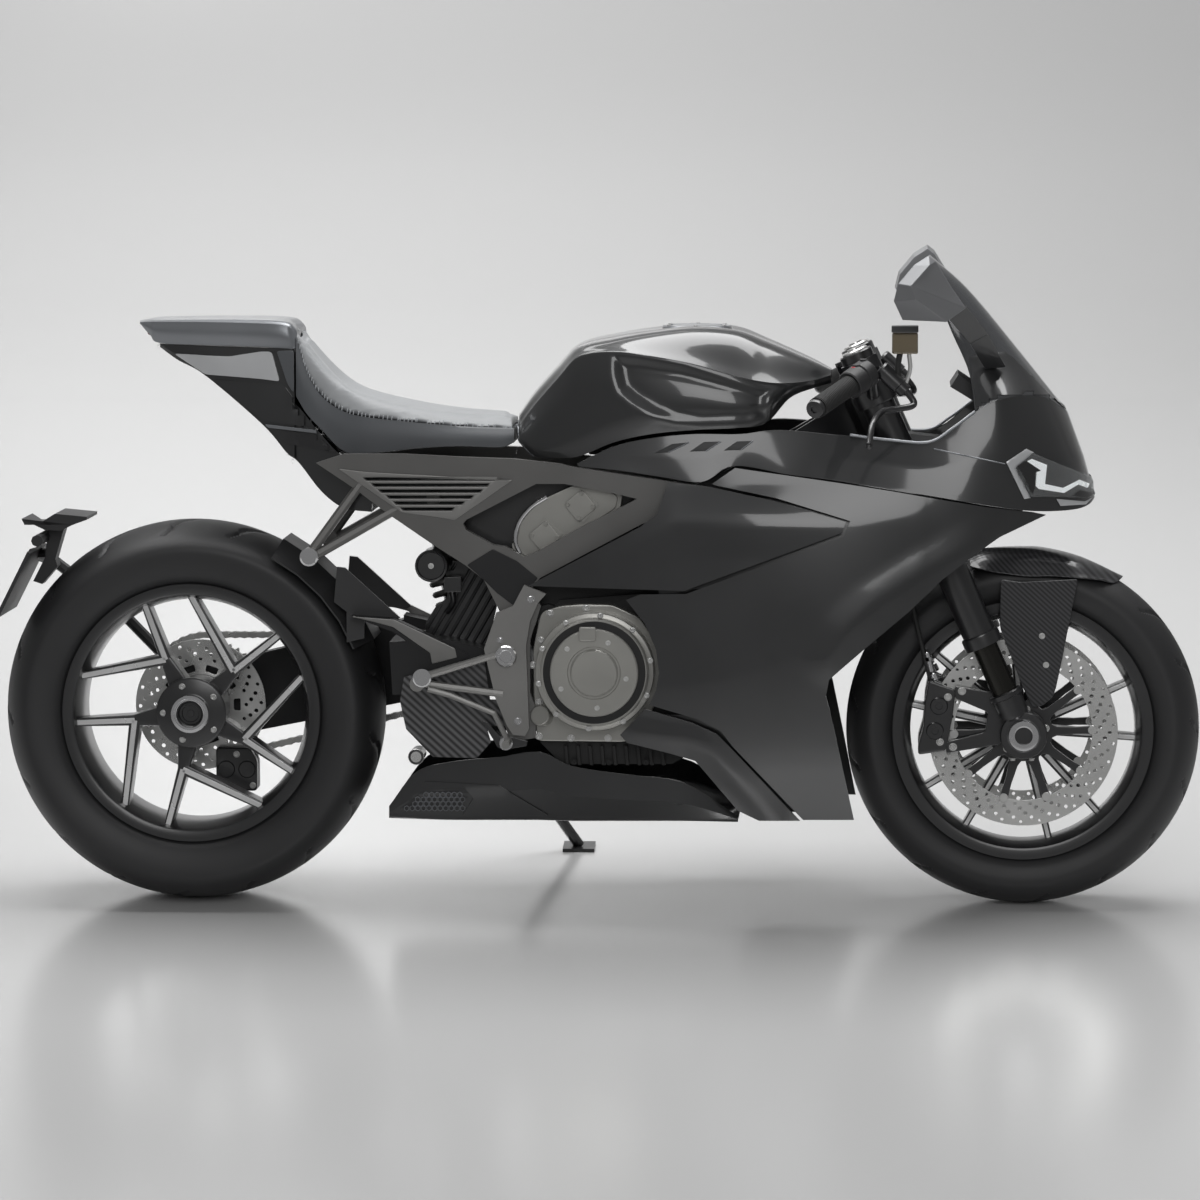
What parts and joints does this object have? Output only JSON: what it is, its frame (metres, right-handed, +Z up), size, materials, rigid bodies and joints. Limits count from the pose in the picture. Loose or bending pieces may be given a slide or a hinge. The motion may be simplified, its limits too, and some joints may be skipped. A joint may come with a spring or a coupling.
{
  "type": "sport motorcycle",
  "caption": "Fully faired sport motorcycle with single-sided swingarm, drilled discs, open frame plates and a split leather seat, parked on its side stand.",
  "frame": {"origin": "bottom centre of the bounding box of the parked bike, on the ground", "axes": "+X forward, +Y to the rider's left, +Z up from the ground"},
  "size_m": [2.0474, 0.7246, 1.1365],
  "materials": {
    "black_metal": "satin black metal",
    "carbon": "woven carbon under clear coat",
    "engine_metal": "warm grey engine covers",
    "frame_grey": "warm grey cast and coated metal",
    "lamp": "clear headlight glass with white light strip",
    "leather": "blue-grey with light stitching",
    "plastic": "matt black",
    "satin_body": "satin dark grey panel",
    "screen": "dark glossy screen",
    "steel": "bright drilled steel",
    "tyre": "black rubber with road tread"
  },
  "bodies": {
    "chassis": {"frame_right": "frame_grey", "frame_left": "frame_grey", "headstock": "black_metal", "engine_block": "black_metal", "cylinder_head": "engine_metal", "clutch_cover": "engine_metal", "fuel_tank": "satin_body", "seat_pad": "leather", "seat_base": "leather", "tail_cowl": "satin_body", "tail_body": "satin_body", "side_wing_right": "satin_body", "side_fairing_right": "satin_body", "lower_duct_right": "satin_body", "side_wing_left": "satin_body", "side_fairing_left": "satin_body", "lower_duct_left": "satin_body", "upper_fairing": "satin_body", "windscreen": "screen", "headlight_right": "lamp", "headlight_left": "lamp", "belly_pan": "satin_body", "radiator": "black_metal", "mirror_right": "satin_body", "mirror_left": "satin_body", "dash": "plastic", "footrest_right": "frame_grey", "footrest_left": "frame_grey", "heel_guard": "carbon", "swingarm": "frame_grey", "rear_shock": "black_metal", "rear_hugger": "carbon", "drive_chain": "steel", "rear_caliper": "black_metal", "plate_hanger": "plastic", "stand_bracket": "black_metal"},
    "steering": {"yokes": "black_metal", "fork_right": "black_metal", "fork_left": "black_metal", "caliper_right": "black_metal", "caliper_left": "black_metal", "front_fender": "carbon", "bar_right": "plastic", "bar_left": "plastic"},
    "front_wheel": {"front_tyre": "tyre", "front_rim": "black_metal", "front_disc_right": "steel", "front_disc_left": "steel"},
    "rear_wheel": {"rear_tyre": "tyre", "rear_rim": "black_metal", "rear_disc": "steel", "rear_sprocket": "steel"},
    "side_stand": {"side_stand": "black_metal"}
  },
  "joints": [
    {"name": "steering", "type": "hinge", "parent": "chassis", "child": "steering", "pos_m": [0.50872, -0.03587, 0.70446], "axis": [-0.4051, 0.1351, 0.9042], "range_deg": [-25, 25]},
    {"name": "front_wheel_spin", "type": "hinge", "parent": "steering", "child": "front_wheel", "pos_m": [0.72373, -0.09664, 0.29783], "axis": [0, 0.989, -0.1478], "continuous": true},
    {"name": "rear_wheel_spin", "type": "hinge", "parent": "chassis", "child": "rear_wheel", "pos_m": [-0.69127, -0.0928, 0.32354], "axis": [0, 0.989, -0.1478], "continuous": true},
    {"name": "side_stand_fold", "type": "hinge", "parent": "chassis", "child": "side_stand", "pos_m": [-0.20127, 0.07565, 0.25994], "axis": [0, 0.989, -0.1478], "range_deg": [0, 95]}
  ]
}
